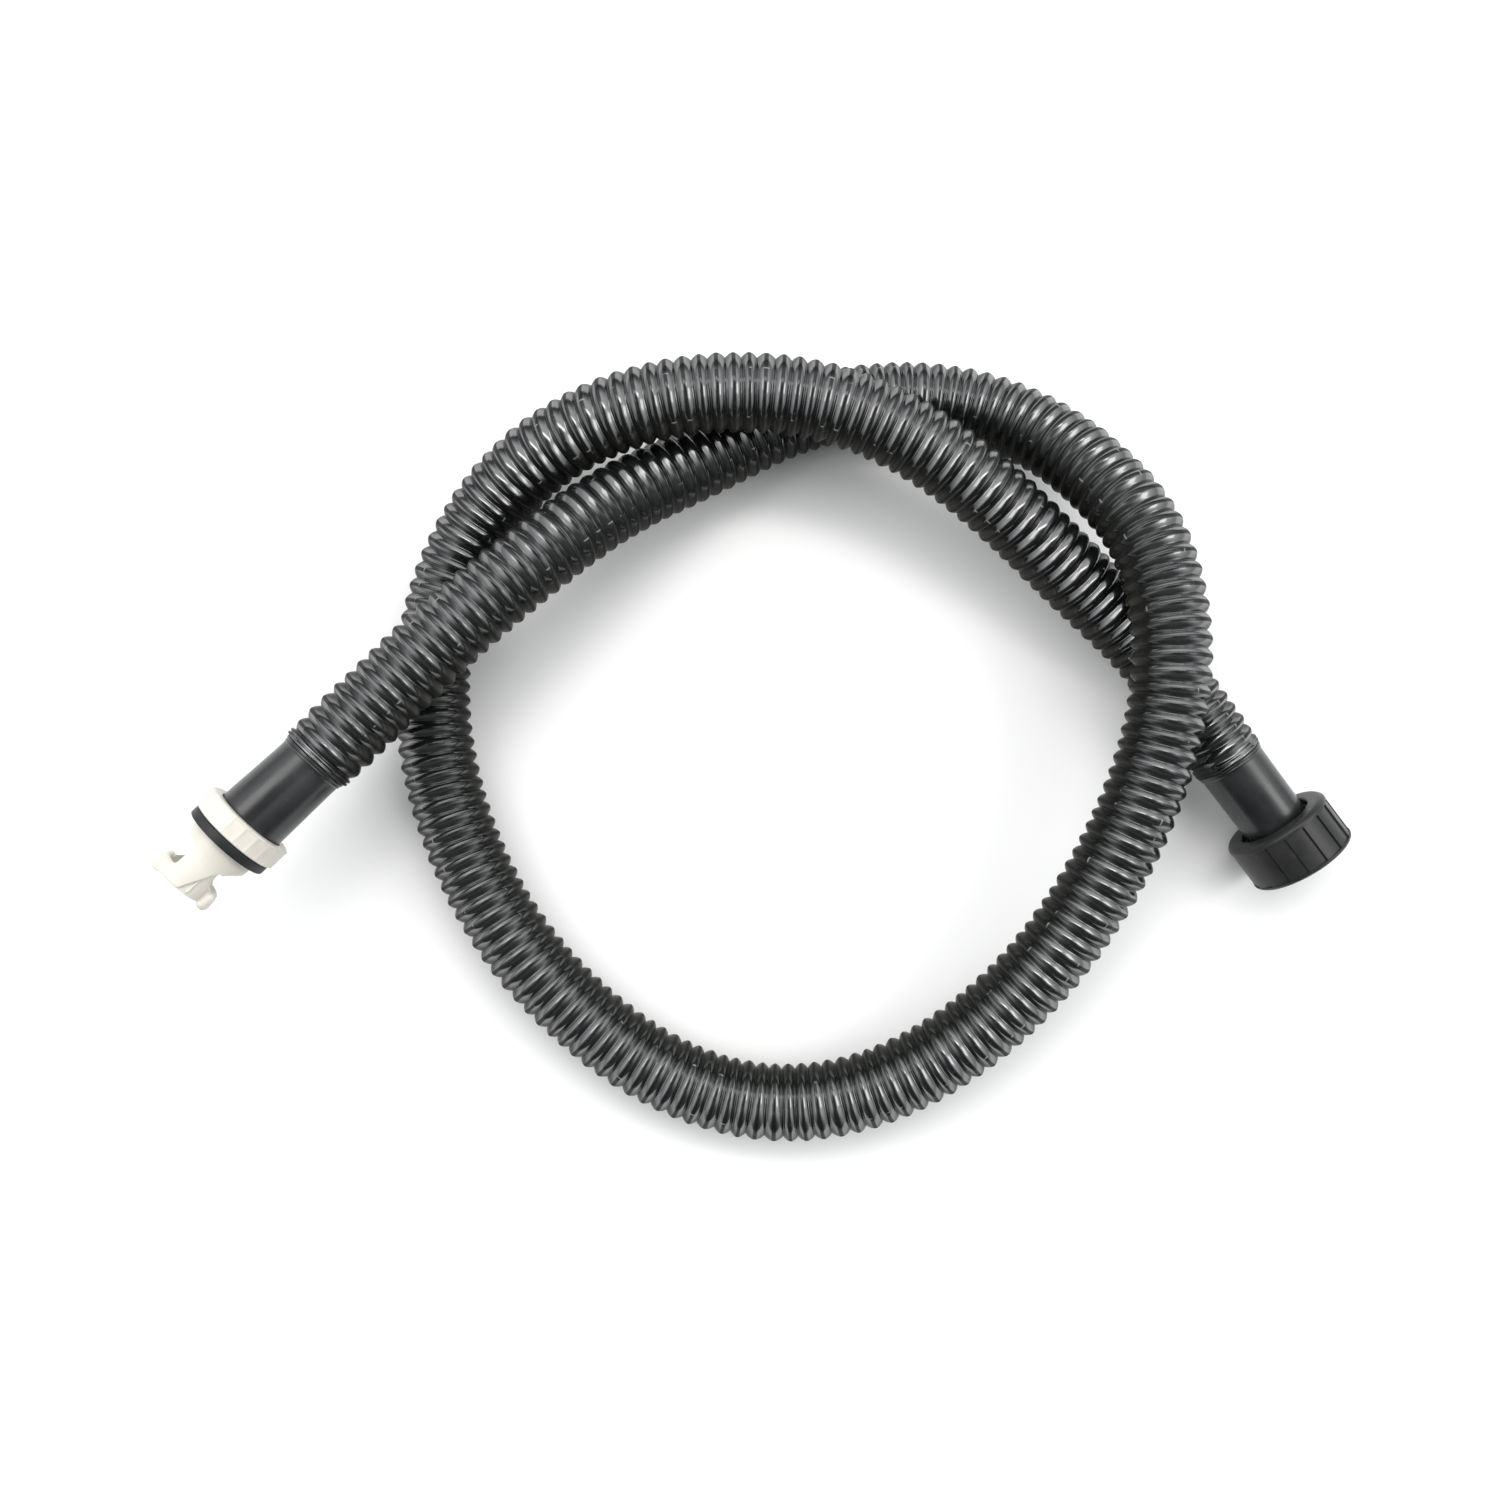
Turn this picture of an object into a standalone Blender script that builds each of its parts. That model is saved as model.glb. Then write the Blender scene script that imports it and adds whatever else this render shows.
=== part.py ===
"""Vacuum hose for a pool or spa, about 2.1 m long with its fittings, lying in a loose overhand loop.

One end carries a large union nut for the pump. The other carries a slim union nut and a
bayonet adaptor with two claws, which hooks into the spa's valve. Metres, +Z up, floor at z = 0.

Each fitting is built along the local +Z of its own empty, from the end of the corrugated
tube (z = 0) outwards. Local +Y of an empty points up and local +X to the side.
"""

from math import cos, pi, radians, sin

import bmesh
import bpy
import numpy as np
from mathutils import Matrix, Vector

MM = 0.001
GAP = 0.3 * MM  # clearance between pieces that touch

# Hose
HOSE_OD = 42 * MM
HOSE_BEVEL_RESOLUTION = 4
ROUTE_POINT_SPACING = 25 * MM

# The part's origin, under the middle of the two fittings, in the route's own coordinates
ORIGIN_MM = (2.8, 0.2, 0)

# Fitting frames: where the corrugated tube ends, and which way its fitting points
VALVE_END = (-242, 32, 70)
VALVE_YAW, VALVE_PITCH = 225.3, 7.0
PUMP_END = (257, 33.5, 29.8)
PUMP_YAW, PUMP_PITCH = -53.3, 0.0

# The centre line in millimetres, from the valve end to the pump end
ROUTE_MM = (
    VALVE_END,
    (-217, 58, 66.5),
    (-181, 95, 64),
    (-132.2, 139.8, 57.5),
    (-84.3, 178.8, 41),
    (-43.4, 203, 27.5),
    (9, 230, 21.6),
    (72, 242, 21.6),
    (111, 237.5, 24.5),
    (147, 220, 35),
    (176.8, 188.2, 54),
    (197, 152, 68),
    (206, 112, 73.5),
    (207, 78, 73.5),
    (202, 44, 71),
    (190, 5, 66),
    (170, -38, 58.5),
    (145, -77, 50),
    (95, -126, 38),
    (47, -151, 30),
    (-14, -157, 23.5),
    (-69, -138, 21.6),
    (-110, -108, 21.6),
    (-145, -70, 21.6),
    (-176, -14, 21.6),
    (-192.6, 48, 21.6),
    (-192.8, 99.5, 21.6),
    (-180.2, 143.8, 23.5),
    (-154.6, 181.4, 34),
    (-117.3, 208, 50),
    (-74.5, 223.2, 61),
    (-20, 229.6, 64.5),
    (35.5, 221.8, 63.5),
    (98, 191, 57),
    (140, 160, 45),
    (178, 128, 34),
    (213, 95, 29.5),
    (235, 64, 29.6),
    PUMP_END,
)

# Cuffs and tailpieces, the same at both ends
CUFF_OUTER_R = 18.2 * MM
CUFF_INNER_R = 15.6 * MM
TAILPIECE_OUTER_R = 15.3 * MM
TAILPIECE_BORE_R = 12.9 * MM
TAILPIECE_REACH = 24 * MM  # how far its spigot goes back into the cuff

# Threads, rounded as on moulded hose fittings
THREAD_PITCH = 4 * MM
THREAD_HEIGHT = 1.8 * MM
THREAD_LEVELS_PER_TURN = 5
ROUND_SIDES = 40

# Pump union nut
PUMP_NUT_BACK = 43.5 * MM
PUMP_NUT_LENGTH = 28.5 * MM
PUMP_NUT_R = 29.8 * MM
PUMP_NUT_WALL = 3.5 * MM
PUMP_NUT_HOLE_R = 20.4 * MM
PUMP_NUT_CHAMBER_R = 26.4 * MM
PUMP_THREAD_MINOR_R = 25.0 * MM
PUMP_GRIPS = 16
PUMP_GRIP_DEPTH = 0.9 * MM
SLIP_RING_INNER_R = 18.5 * MM
SLIP_RING_OUTER_R = 24.7 * MM
SLIP_RING_LENGTH = 4.2 * MM
PUMP_FLANGE_LENGTH = 3 * MM
PUMP_SEAL_LENGTH = 2.5 * MM
PUMP_SEAL_OUTER_R = 24.3 * MM
SEAL_INNER_R = 14.5 * MM

# Valve union nut
VALVE_NUT_BACK = 43.7 * MM
VALVE_NUT_LENGTH = 11.4 * MM
VALVE_NUT_R = 24.3 * MM
VALVE_NUT_WALL = 2.4 * MM
VALVE_NUT_HOLE_R = 18.8 * MM
VALVE_THREAD_MINOR_R = 21.2 * MM
VALVE_GRIPS = 20
VALVE_GRIP_DEPTH = 0.5 * MM
VALVE_FLANGE_R = 20.5 * MM
VALVE_FLANGE_LENGTH = 2.3 * MM
VALVE_SEAL_LENGTH = 1.4 * MM

# Bayonet adaptor and the gasket on its neck
THREAD_CLEARANCE = 0.6 * MM
ADAPTOR_BORE_R = 12.8 * MM
NECK_R = 17.7 * MM
BARREL_R = 16.6 * MM
GASKET_INNER_R = 18.0 * MM
GASKET_OUTER_R = 22.9 * MM
GASKET_LENGTH = 5 * MM
CLAW_REACH = 31.2 * MM  # from the gasket's front face to the claws' tips
NOTCH_START = 7.3 * MM
NOTCH_END = 21.4 * MM
NOTCH_FLOOR = 10 * MM  # how near the axis each notch comes
CLAW_R = 18.0 * MM
CLAW_HALF_ANGLE = 40
SPLIT_WIDTH = 1.2 * MM
SPLIT_SLANT = 24.5
SPLIT_FOOT_X = 11 * MM


def clear_scene():
    for obj in list(bpy.data.objects):
        bpy.data.objects.remove(obj, do_unlink=True)


def make_material(name, colour, roughness):
    material = bpy.data.materials.new(name)
    material.use_nodes = True
    shader = material.node_tree.nodes["Principled BSDF"]
    shader.inputs["Base Color"].default_value = (*colour, 1)
    shader.inputs["Roughness"].default_value = roughness
    shader.inputs["Metallic"].default_value = 0
    material.diffuse_color = (*colour, 1)
    return material


def placed(point_mm):
    """A point of the route, in metres from the part's origin."""
    return (Vector(point_mm) - Vector(ORIGIN_MM)) * MM


def outward(yaw, pitch):
    """The direction that a fitting points in."""
    level = cos(radians(pitch))
    return Vector((level * cos(radians(yaw)), level * sin(radians(yaw)), sin(radians(pitch))))


def make_fitting_frame(name, end_mm, yaw, pitch):
    """An empty at the end of the corrugated tube, with local +Z along the fitting."""
    along = outward(yaw, pitch)
    side = Vector((0, 0, 1)).cross(along).normalized()
    up = along.cross(side)
    frame = bpy.data.objects.new(name, None)
    frame.empty_display_size = 0.02
    bpy.context.collection.objects.link(frame)
    turn = Matrix((side, up, along)).transposed().to_4x4()
    frame.matrix_world = Matrix.Translation(placed(end_mm)) @ turn
    return frame


def finish_object(name, bm, material, frame):
    """Turn a bmesh into an object with outward faces, shaded smooth up to 35 degrees."""
    bmesh.ops.recalc_face_normals(bm, faces=bm.faces)
    mesh = bpy.data.meshes.new(name)
    bm.to_mesh(mesh)
    bm.free()
    mesh.shade_smooth()
    mesh.set_sharp_from_angle(angle=radians(35))
    mesh.materials.append(material)
    obj = bpy.data.objects.new(name, mesh)
    bpy.context.collection.objects.link(obj)
    obj.parent = frame
    return obj


def plain(radius, height, angle):
    return radius


def turned_mesh(outline, sides=ROUND_SIDES, radius_at=plain, angles=None):
    """A closed outline of (radius, height) points swept round local Z.

    radius_at may change a point's radius with its angle, for grips and threads.
    """
    bm = bmesh.new()
    angles = angles or [2 * pi * i / sides for i in range(sides)]
    rings = []
    for radius, height in outline:
        ring = []
        for angle in angles:
            r = radius_at(radius, height, angle)
            ring.append(bm.verts.new((r * cos(angle), r * sin(angle), height)))
        rings.append(ring)
    count = len(angles)
    for one, two in zip(rings, rings[1:] + rings[:1]):
        for i in range(count):
            j = (i + 1) % count
            bm.faces.new((one[i], one[j], two[j], two[i]))
    return bm


def tube_outline(inner, outer, start, end, chamfer=0.4 * MM):
    """The outline of a plain ring whose outer edges are chamfered."""
    return [
        (inner, start),
        (outer - chamfer, start),
        (outer, start + chamfer),
        (outer, end - chamfer),
        (outer - chamfer, end),
        (inner, end),
    ]


def make_turned(name, outline, material, frame, **options):
    return finish_object(name, turned_mesh(outline, **options), material, frame)


def thread_levels(start, end):
    """Heights through a thread, close enough together to draw its wave."""
    steps = round((end - start) / THREAD_PITCH * THREAD_LEVELS_PER_TURN)
    return [start + (end - start) * i / steps for i in range(steps + 1)]


def thread_ridge(height, angle, start, end, turned_by):
    """0 at a root and 1 at a crest of a right-hand thread, fading to 0 at both ends.

    A female thread's ridge lies half a pitch from the male's, so it is turned by pi.
    """
    fade = min(1, (height - start) / THREAD_PITCH * 2, (end - height) / THREAD_PITCH * 2)
    phase = 2 * pi * height / THREAD_PITCH - angle - turned_by
    return max(0, fade) * (0.5 + 0.5 * cos(phase))


def grip_angles(grips, sharp):
    """Angles for grips: a saw tooth needs a short steep side, a flute an even wave."""
    shares = (0, 0.06, 0.36, 0.68) if sharp else (0, 0.5)
    step = 2 * pi / grips
    return [step * (i + share) for i in range(grips) for share in shares]


def make_pump_nut(material, frame):
    """The large nut: saw-tooth grips round it, an open back, and a female thread inside."""
    back = PUMP_NUT_BACK
    front = back + PUMP_NUT_LENGTH
    thread_start = back + 12.5 * MM
    thread_end = front - 0.8 * MM
    grip_start = back + 4.5 * MM
    grip_end = front - 2.2 * MM
    step = 2 * pi / PUMP_GRIPS

    def radius_at(radius, height, angle):
        if radius == PUMP_NUT_R and grip_start < height < grip_end:
            share = angle % step / step
            return radius - PUMP_GRIP_DEPTH * (1 - share if share > 0.03 else 0)
        if radius == PUMP_THREAD_MINOR_R:
            ridge = thread_ridge(height, angle, thread_start, thread_end, pi)
            return radius + THREAD_HEIGHT * (1 - ridge)
        return radius

    lip = 1.2 * MM
    outline = [
        (PUMP_NUT_HOLE_R, back),
        (PUMP_NUT_R - lip, back),
        (PUMP_NUT_R, back + lip),
        (PUMP_NUT_R, grip_start),
        (PUMP_NUT_R, grip_start + 0.4 * MM),
        (PUMP_NUT_R, grip_end - 0.4 * MM),
        (PUMP_NUT_R, grip_end),
        (PUMP_NUT_R - 0.5 * MM, front - 0.8 * MM),
        (PUMP_NUT_R - 1.6 * MM, front),
    ]
    levels = thread_levels(thread_start, thread_end)
    outline += [(PUMP_THREAD_MINOR_R + THREAD_HEIGHT, front)]
    outline += [(PUMP_THREAD_MINOR_R, height) for height in reversed(levels)]
    outline += [
        (PUMP_NUT_CHAMBER_R, thread_start - 1 * MM),
        (PUMP_NUT_CHAMBER_R, back + PUMP_NUT_WALL),
        (PUMP_NUT_HOLE_R, back + PUMP_NUT_WALL),
    ]
    angles = grip_angles(PUMP_GRIPS, sharp=True)
    return make_turned("pump_union_nut", outline, material, frame, radius_at=radius_at, angles=angles)


def make_valve_nut(material, frame):
    """The slim nut: shallow flutes round it and a female thread that holds the adaptor."""
    back = VALVE_NUT_BACK
    front = back + VALVE_NUT_LENGTH
    thread_start = back + VALVE_NUT_WALL + 1.5 * MM
    thread_end = front + 1.2 * MM

    def radius_at(radius, height, angle):
        if radius == VALVE_NUT_R:
            return radius - VALVE_GRIP_DEPTH * (0.5 + 0.5 * cos(VALVE_GRIPS * angle))
        if radius == VALVE_THREAD_MINOR_R:
            ridge = thread_ridge(height, angle, thread_start, thread_end, pi)
            return radius + THREAD_HEIGHT * (1 - ridge)
        return radius

    edge = 0.8 * MM
    outline = [
        (VALVE_NUT_HOLE_R, back),
        (VALVE_NUT_R - 1.6 * MM, back),
        (VALVE_NUT_R, back + edge),
        (VALVE_NUT_R, front - edge),
        (VALVE_NUT_R - 1.1 * MM, front),
    ]
    levels = thread_levels(thread_start, front)
    outline += [(VALVE_THREAD_MINOR_R, height) for height in reversed(levels)]
    outline += [
        (VALVE_THREAD_MINOR_R + THREAD_HEIGHT, back + VALVE_NUT_WALL),
        (VALVE_NUT_HOLE_R, back + VALVE_NUT_WALL),
    ]
    angles = grip_angles(VALVE_GRIPS, sharp=False)
    return make_turned("valve_union_nut", outline, material, frame, radius_at=radius_at, angles=angles)


def make_tailpiece(name, flange_r, flange_start, flange_length, material, frame):
    """A rigid flanged spigot pressed into a cuff, whose flange the union nut pulls on."""
    start = flange_start - TAILPIECE_REACH
    end = flange_start + flange_length
    outline = [
        (TAILPIECE_BORE_R, start),
        (TAILPIECE_OUTER_R - 0.8 * MM, start),
        (TAILPIECE_OUTER_R, start + 1.5 * MM),
        (TAILPIECE_OUTER_R, flange_start),
        (flange_r, flange_start),
        (flange_r, end - 0.4 * MM),
        (flange_r - 0.4 * MM, end),
        (TAILPIECE_BORE_R, end),
    ]
    return make_turned(name, outline, material, frame)


def make_cutter(name, bm, frame):
    cutter = finish_object(name, bm, bpy.data.materials["white_plastic"], frame)
    cutter.hide_render = True
    cutter.display_type = "WIRE"
    return cutter


def add_boolean(obj, other, operation):
    modifier = obj.modifiers.new(other.name, "BOOLEAN")
    modifier.object = other
    modifier.operation = operation
    modifier.solver = "EXACT"


def block_mesh(low, high, turn=Matrix.Identity(4)):
    """A box between two corners, turned about the local origin."""
    bm = bmesh.new()
    bmesh.ops.create_cube(bm, size=1)
    size = [b - a for a, b in zip(low, high)]
    middle = [(a + b) / 2 for a, b in zip(low, high)]
    bmesh.ops.scale(bm, vec=size, verts=bm.verts)
    bmesh.ops.translate(bm, vec=middle, verts=bm.verts)
    bmesh.ops.transform(bm, matrix=turn, verts=bm.verts)
    return bm


def notch_mesh(side, base):
    """A notch cutter on one side: a long block along Y with its inner corners rounded."""
    low = (NOTCH_FLOOR, -25 * MM, base + NOTCH_START)
    high = (30 * MM, 25 * MM, base + NOTCH_END)
    bm = block_mesh(low, high)
    inner = [e for e in bm.edges if all(v.co.x < NOTCH_FLOOR + 1 * MM for v in e.verts)]
    inner = [e for e in inner if abs(e.verts[0].co.y - e.verts[1].co.y) > 1 * MM]
    bmesh.ops.bevel(bm, geom=inner, offset=4.5 * MM, segments=4, profile=0.5, affect="EDGES")
    bmesh.ops.rotate(bm, matrix=Matrix.Rotation(0 if side > 0 else pi, 3, "Z"), verts=bm.verts)
    return bm


def claw_mesh(side, base):
    """One claw head: a thick sector of a ring with its notch side rounded over."""
    start = base + NOTCH_END - 0.5 * MM
    end = base + CLAW_REACH
    inner = BARREL_R - 1.5 * MM
    outline = [
        (inner, start + 0.6 * MM),
        (CLAW_R - 1.6 * MM, start),
        (CLAW_R - 0.4 * MM, start + 0.8 * MM),
        (CLAW_R, start + 2.6 * MM),
        (CLAW_R - 0.5 * MM, end - 3 * MM),
        (CLAW_R - 1.4 * MM, end - 0.6 * MM),
        (CLAW_R - 2.0 * MM, end),
        (inner, end),
    ]
    bm = bmesh.new()
    middle = 0 if side > 0 else pi
    steps = 10
    rows = []
    for i in range(steps + 1):
        angle = middle + radians(CLAW_HALF_ANGLE) * (2 * i / steps - 1)
        rows.append([bm.verts.new((r * cos(angle), r * sin(angle), h)) for r, h in outline])
    count = len(outline)
    for one, two in zip(rows, rows[1:]):
        for i in range(count):
            j = (i + 1) % count
            bm.faces.new((one[i], one[j], two[j], two[i]))
    bm.faces.new(rows[0])
    bm.faces.new(rows[-1])
    return bm


def make_adaptor(material, frame):
    """The claw adaptor: male thread, neck for the gasket, then a split barrel with two claws."""
    thread_start = VALVE_NUT_BACK + VALVE_NUT_WALL + GAP + VALVE_FLANGE_LENGTH
    thread_start += GAP + VALVE_SEAL_LENGTH + GAP
    thread_end = VALVE_NUT_BACK + VALVE_NUT_LENGTH
    base = thread_end + GAP + GASKET_LENGTH
    root_r = VALVE_THREAD_MINOR_R - THREAD_CLEARANCE

    def radius_at(radius, height, angle):
        if radius == root_r:
            ridge = thread_ridge(height, angle, thread_start - THREAD_PITCH / 2, base, 0)
            return radius + THREAD_HEIGHT * ridge
        return radius

    levels = thread_levels(thread_start, thread_end)
    outline = [(ADAPTOR_BORE_R, thread_start)]
    outline += [(root_r, height) for height in levels]
    outline += [
        (NECK_R, thread_end),
        (NECK_R, base + 4.5 * MM),
        (NECK_R - 0.6 * MM, base + NOTCH_START - 0.6 * MM),
        (BARREL_R, base + NOTCH_START + 1.5 * MM),
        (BARREL_R - 0.5 * MM, base + CLAW_REACH - 1 * MM),
        (BARREL_R - 1.0 * MM, base + CLAW_REACH),
        (ADAPTOR_BORE_R, base + CLAW_REACH),
    ]
    adaptor = make_turned("bayonet_adaptor", outline, material, frame, radius_at=radius_at)
    for side, word in ((1, "right"), (-1, "left")):
        claw = make_cutter(f"{word}_claw_form", claw_mesh(side, base), frame)
        add_boolean(adaptor, claw, "UNION")
    for side, word in ((1, "right"), (-1, "left")):
        notch = make_cutter(f"{word}_notch_cutter", notch_mesh(side, base), frame)
        add_boolean(adaptor, notch, "DIFFERENCE")
        half = SPLIT_WIDTH / 2
        turn = Matrix.Translation((SPLIT_FOOT_X, 0, base + NOTCH_START + 4 * MM))
        turn = turn @ Matrix.Rotation(radians(-SPLIT_SLANT), 4, "Y")
        turn = Matrix.Rotation(0 if side > 0 else pi, 4, "Z") @ turn
        split = block_mesh((-half, 5 * MM, 0), (half, 25 * MM, 40 * MM), turn)
        add_boolean(adaptor, make_cutter(f"{word}_split_cutter", split, frame), "DIFFERENCE")
    return adaptor


def smooth_route(points, start_way, end_way, spacing):
    """Points about evenly spaced along the smooth curve through the route's own points.

    It is the cubic spline with continuous curvature that leaves the first point along
    start_way and reaches the last along end_way.
    """
    points = np.array(points, float)
    chords = np.linalg.norm(np.diff(points, axis=0), axis=1)
    count = len(points)
    system = np.eye(count)
    known = np.zeros((count, 3))
    known[0], known[-1] = start_way, end_way
    for i in range(1, count - 1):
        before, after = chords[i - 1], chords[i]
        system[i, i - 1 : i + 2] = after, 2 * (before + after), before
        back = (points[i] - points[i - 1]) / before
        ahead = (points[i + 1] - points[i]) / after
        known[i] = 3 * (after * back + before * ahead)
    slopes = np.linalg.solve(system, known)
    dense = []
    for i in range(count - 1):
        for t in np.linspace(0, 1, 40, endpoint=False):
            dense.append(
                (2 * t**3 - 3 * t**2 + 1) * points[i]
                + (t**3 - 2 * t**2 + t) * chords[i] * slopes[i]
                + (3 * t**2 - 2 * t**3) * points[i + 1]
                + (t**3 - t**2) * chords[i] * slopes[i + 1]
            )
    dense = np.array(dense + [points[-1]])
    steps = np.linalg.norm(np.diff(dense, axis=0), axis=1)
    travelled = np.concatenate([[0], np.cumsum(steps)])
    wanted = np.linspace(0, travelled[-1], round(travelled[-1] / spacing) + 1)
    return np.column_stack([np.interp(wanted, travelled, dense[:, k]) for k in range(3)])


def make_hose(material):
    """The corrugated tube as a plain rod of its outer diameter, along its route."""
    start_way = -outward(VALVE_YAW, VALVE_PITCH)
    end_way = outward(PUMP_YAW, PUMP_PITCH)
    route = [placed(point) for point in ROUTE_MM]
    points = smooth_route(route, start_way, end_way, ROUTE_POINT_SPACING)
    # The first and last runs lie exactly on the fittings' axes, so the ends are square to them.
    points[1] = points[0] + np.array(start_way) * ROUTE_POINT_SPACING
    points[-2] = points[-1] - np.array(end_way) * ROUTE_POINT_SPACING
    curve = bpy.data.curves.new("hose", "CURVE")
    curve.dimensions = "3D"
    curve.bevel_depth = HOSE_OD / 2
    curve.bevel_resolution = HOSE_BEVEL_RESOLUTION
    curve.use_fill_caps = True
    curve.twist_mode = "MINIMUM"
    spline = curve.splines.new("POLY")
    spline.points.add(len(points) - 1)
    for target, point in zip(spline.points, points):
        target.co = (*point, 1)
    spline.use_smooth = True
    curve.materials.append(material)
    obj = bpy.data.objects.new("hose", curve)
    bpy.context.collection.objects.link(obj)
    return obj


def make_pump_end(frame):
    """Cuff, tailpiece, slip ring, face seal and the large union nut."""
    ring_start = PUMP_NUT_BACK + PUMP_NUT_WALL + GAP
    cuff_end = ring_start + SLIP_RING_LENGTH
    flange_start = cuff_end + GAP
    seal_start = flange_start + PUMP_FLANGE_LENGTH + GAP
    seal_end = seal_start + PUMP_SEAL_LENGTH
    soft = bpy.data.materials["cuff"]
    hard = bpy.data.materials["black_plastic"]
    rubber = bpy.data.materials["rubber"]

    cuff = tube_outline(CUFF_INNER_R, CUFF_OUTER_R, GAP, cuff_end)
    ring = tube_outline(SLIP_RING_INNER_R, SLIP_RING_OUTER_R, ring_start, cuff_end)
    seal = tube_outline(SEAL_INNER_R, PUMP_SEAL_OUTER_R, seal_start, seal_end)
    make_turned("pump_cuff", cuff, soft, frame)
    make_turned("pump_slip_ring", ring, hard, frame)
    make_turned("pump_face_seal", seal, rubber, frame)
    make_tailpiece("pump_tailpiece", SLIP_RING_OUTER_R, flange_start, PUMP_FLANGE_LENGTH, hard, frame)
    make_pump_nut(hard, frame)


def make_valve_end(frame):
    """Cuff, tailpiece, face seal, slim union nut, adaptor and the gasket on its neck."""
    cuff_end = VALVE_NUT_BACK + VALVE_NUT_WALL
    flange_start = cuff_end + GAP
    seal_start = flange_start + VALVE_FLANGE_LENGTH + GAP
    seal_end = seal_start + VALVE_SEAL_LENGTH
    gasket_start = VALVE_NUT_BACK + VALVE_NUT_LENGTH + GAP
    gasket_end = gasket_start + GASKET_LENGTH
    soft = bpy.data.materials["cuff"]
    hard = bpy.data.materials["white_plastic"]
    rubber = bpy.data.materials["rubber"]

    cuff = tube_outline(CUFF_INNER_R, CUFF_OUTER_R, GAP, cuff_end)
    seal = tube_outline(SEAL_INNER_R, VALVE_FLANGE_R - GAP, seal_start, seal_end)
    gasket = tube_outline(GASKET_INNER_R, GASKET_OUTER_R, gasket_start, gasket_end)
    make_turned("valve_cuff", cuff, soft, frame)
    make_turned("valve_face_seal", seal, rubber, frame)
    make_turned("valve_gasket", gasket, rubber, frame)
    make_tailpiece("valve_tailpiece", VALVE_FLANGE_R, flange_start, VALVE_FLANGE_LENGTH, hard, frame)
    make_valve_nut(hard, frame)
    make_adaptor(hard, frame)


def main():
    clear_scene()
    hose = make_material("hose", (0.035, 0.037, 0.036), 0.45)
    make_material("cuff", (0.045, 0.047, 0.047), 0.42)
    make_material("black_plastic", (0.04, 0.042, 0.041), 0.35)
    make_material("white_plastic", (0.82, 0.79, 0.72), 0.4)
    make_material("rubber", (0.03, 0.032, 0.034), 0.65)
    make_hose(hose)
    make_pump_end(make_fitting_frame("pump_end", PUMP_END, PUMP_YAW, PUMP_PITCH))
    make_valve_end(make_fitting_frame("valve_end", VALVE_END, VALVE_YAW, VALVE_PITCH))


main()
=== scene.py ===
"""The looks of a pool vacuum hose lying in a loose overhand loop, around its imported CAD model.

The hose is a blow-moulded corrugated tube. One end has a soft cuff with a large black union
nut, the other a cuff with a slim cream nut and a bayonet adaptor whose two claws pull a black
gasket onto the spa's valve. Metres, +Z up, floor at z = 0.

Each fitting is drawn in millimetres along the local +Z of its own frame, from the end of the
corrugated tube (z = 0) outwards, with local +Y upwards and local +X to the side.
"""

from math import acos, atan2, cos, degrees, pi, radians, sin

import bmesh
import bpy
import numpy as np
from mathutils import Matrix, Vector


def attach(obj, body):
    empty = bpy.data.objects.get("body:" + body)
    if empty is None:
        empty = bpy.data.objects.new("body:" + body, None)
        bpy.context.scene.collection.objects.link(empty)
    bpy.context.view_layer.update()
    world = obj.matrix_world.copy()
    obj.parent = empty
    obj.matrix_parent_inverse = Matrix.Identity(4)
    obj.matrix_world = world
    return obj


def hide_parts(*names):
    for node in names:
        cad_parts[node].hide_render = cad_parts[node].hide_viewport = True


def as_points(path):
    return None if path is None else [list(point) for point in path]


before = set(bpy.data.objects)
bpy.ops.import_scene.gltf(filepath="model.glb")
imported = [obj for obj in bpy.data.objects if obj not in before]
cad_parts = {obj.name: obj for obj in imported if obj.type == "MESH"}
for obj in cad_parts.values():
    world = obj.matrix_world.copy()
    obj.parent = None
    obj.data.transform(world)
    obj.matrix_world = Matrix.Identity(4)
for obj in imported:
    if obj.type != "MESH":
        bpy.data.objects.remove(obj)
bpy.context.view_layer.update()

MM = 0.001

# The studio's band of light: how far it leans back from overhead, and its strength
BAND_LEAN = radians(25)
SKY_STRENGTH = 0.95

# Camera, almost straight above the loop
CAMERA_AT = (-0.0466, 0.0105, 0.674)
CAMERA_TARGET = (-0.0173, 0.0398, 0)
CAMERA_LENS = 27.6

# Where the corrugated tube ends, and which way each fitting points, in degrees
ORIGIN_MM = (2.8, 0.2, 0)
VALVE_END = (-242, 32, 70)
VALVE_YAW, VALVE_PITCH = 225.3, 7.0
PUMP_END = (257, 33.5, 29.8)
PUMP_YAW, PUMP_PITCH = -53.3, 0.0

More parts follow.
